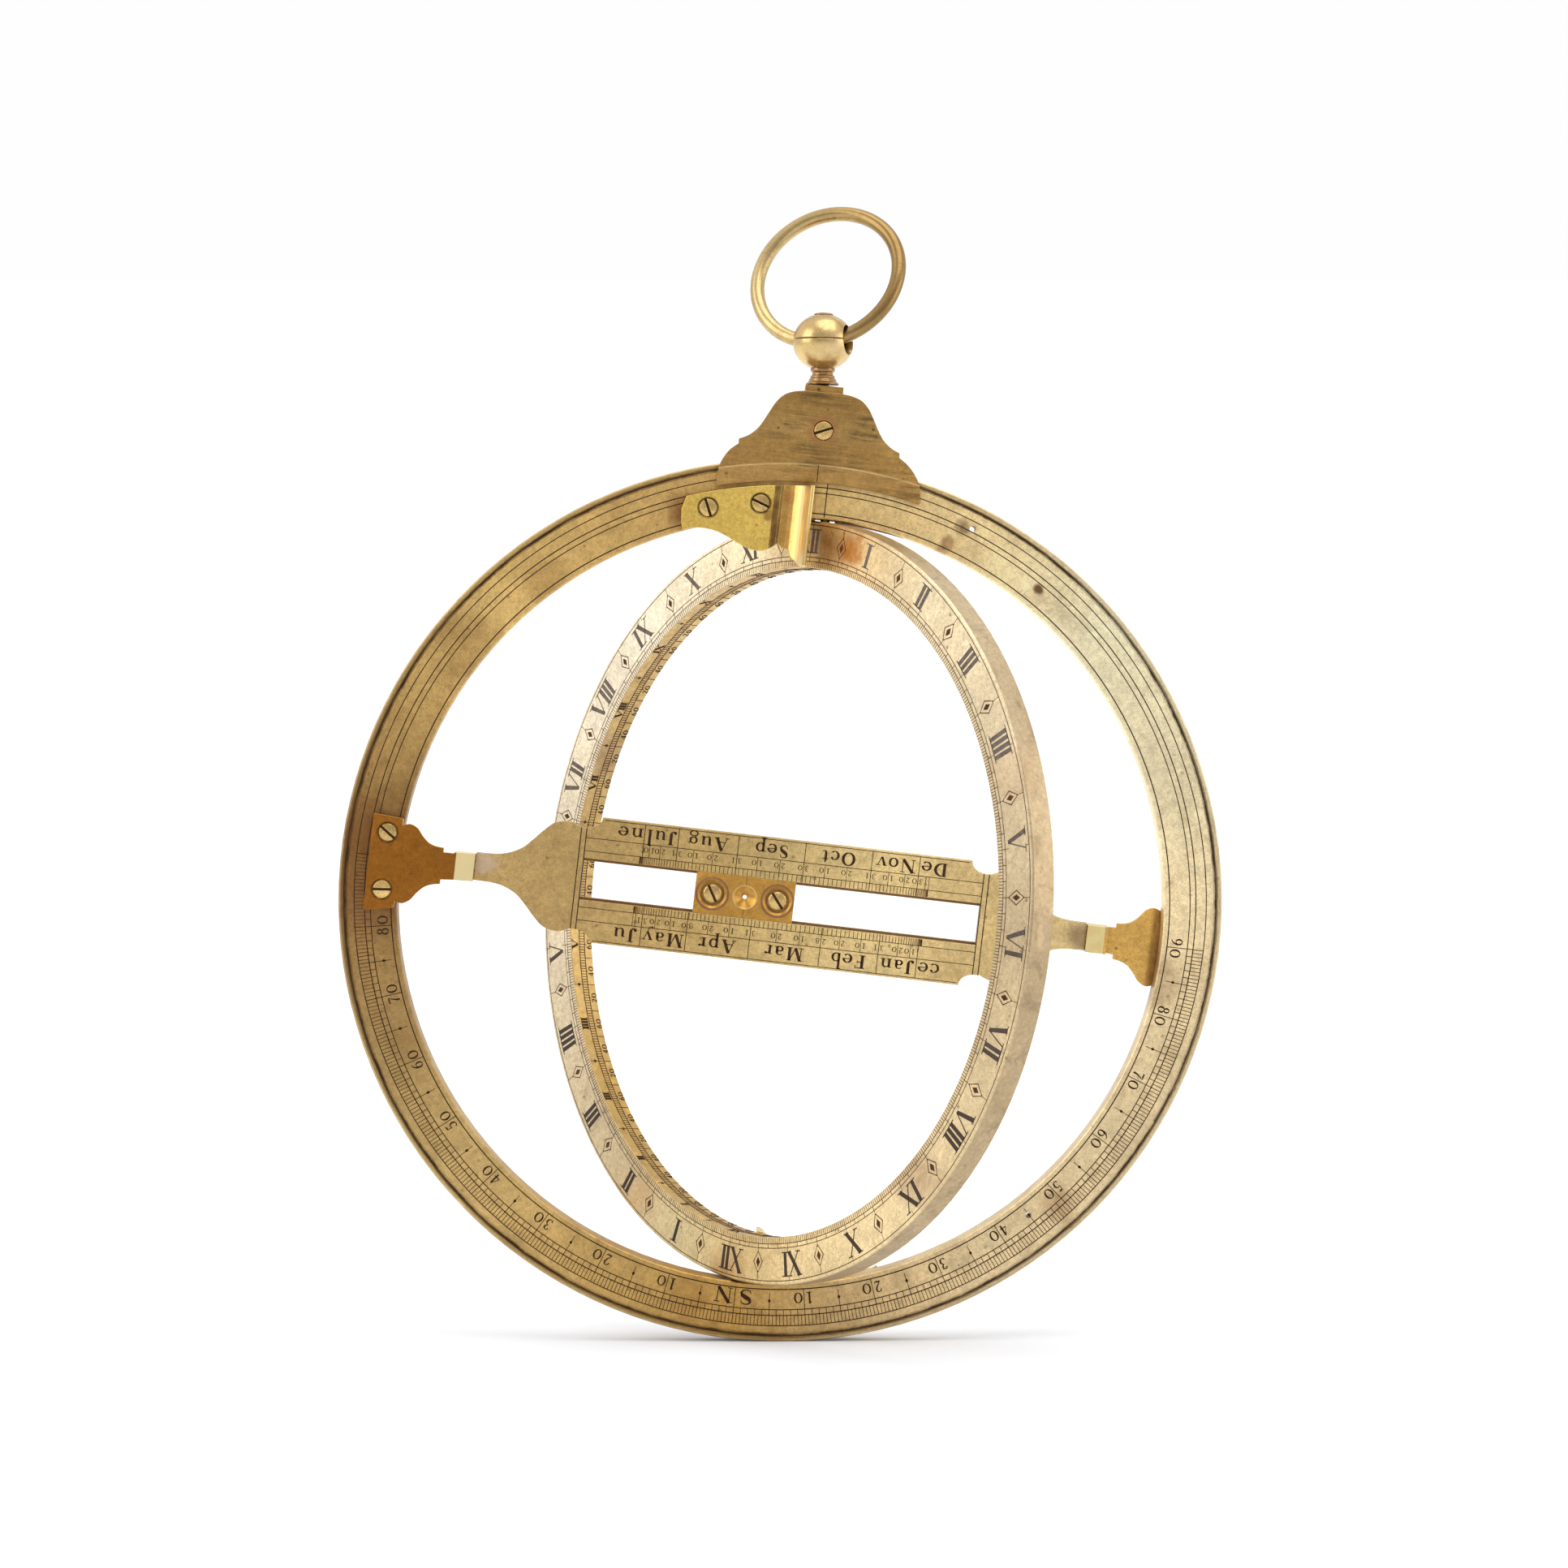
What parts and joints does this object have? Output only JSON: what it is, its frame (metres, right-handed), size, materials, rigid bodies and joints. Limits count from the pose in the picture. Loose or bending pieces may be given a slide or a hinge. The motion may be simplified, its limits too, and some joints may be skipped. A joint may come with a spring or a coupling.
{
  "type": "universal equinoctial ring dial",
  "caption": "Folding brass ring dial: a hinged hour ring and a turning slotted bridge with a sliding cursor inside a graduated meridian ring, hung from a sliding ball-and-ring carriage.",
  "frame": {"origin": "centre of the meridian ring, in its middle plane", "axes": "+Z along the hour ring hinge towards the suspension, +X along the bridge axis, front face of the meridian ring towards -Y"},
  "size_m": [0.229, 0.159, 0.2968],
  "materials": {
    "meridian_brass": "aged satin, tarnished at the edges",
    "hour_ring_brass": "pale aged satin",
    "bridge_brass": "aged satin",
    "bracket_brass": "dark lacquered satin",
    "stop_brass": "polished with brown tarnish",
    "cursor_brass": "satin",
    "carriage_brass": "streaked dark patina",
    "turned_brass": "polished",
    "screw_brass": "satin, dark slots"
  },
  "bodies": {
    "meridian": {"meridian_ring": "meridian_brass", "hour_ring_pivot_top": "screw_brass", "hour_ring_pivot_bottom": "screw_brass", "bridge_bracket_left": "bracket_brass", "bridge_bracket_left_screws": "screw_brass", "bridge_bracket_right": "bracket_brass", "bridge_bracket_right_screws": "screw_brass", "front_stop": "stop_brass", "front_stop_screws": "screw_brass", "rear_stop": "stop_brass", "rear_stop_screws": "screw_brass"},
    "hour_ring": {"hour_ring": "hour_ring_brass"},
    "bridge": {"bridge": "bridge_brass"},
    "cursor": {"cursor_front_plate": "cursor_brass", "cursor_back_plate": "cursor_brass", "cursor_screws": "screw_brass"},
    "carriage": {"slider_front_cheek": "carriage_brass", "slider_rear_cheek": "carriage_brass", "slider_spacer": "carriage_brass", "slider_screw": "screw_brass"},
    "swivel": {"swivel_neck": "turned_brass", "ball_lower": "turned_brass", "ball_upper": "turned_brass", "ball_rivet": "screw_brass"},
    "suspension_ring": {"suspension_ring": "turned_brass"}
  },
  "joints": [
    {"name": "hour_ring_hinge", "type": "hinge", "parent": "meridian", "child": "hour_ring", "pos_m": [0, 0, 0], "axis": [0, 0, -1], "range_deg": [-51.5, 38.5]},
    {"name": "bridge_turn", "type": "hinge", "parent": "meridian", "child": "bridge", "pos_m": [0, 0, 0], "axis": [1, 0, 0], "continuous": true},
    {"name": "cursor_slide", "type": "slide", "parent": "bridge", "child": "cursor", "axis": [1, 0, 0], "range_m": [-0.02915, 0.04795]},
    {"name": "carriage_slide", "type": "hinge", "parent": "meridian", "child": "carriage", "pos_m": [0, 0, 0], "axis": [0, 1, 0], "continuous": true},
    {"name": "ball_swivel", "type": "hinge", "parent": "carriage", "child": "swivel", "pos_m": [-0.00591, 0, 0.14576], "axis": [-0.0993, 0, 0.9951], "continuous": true},
    {"name": "suspension_ring_swing", "type": "hinge", "parent": "swivel", "child": "suspension_ring", "pos_m": [-0.00591, 0, 0.14576], "axis": [0.929, -0.3584, 0.0927], "range_deg": [-80, 140]}
  ]
}
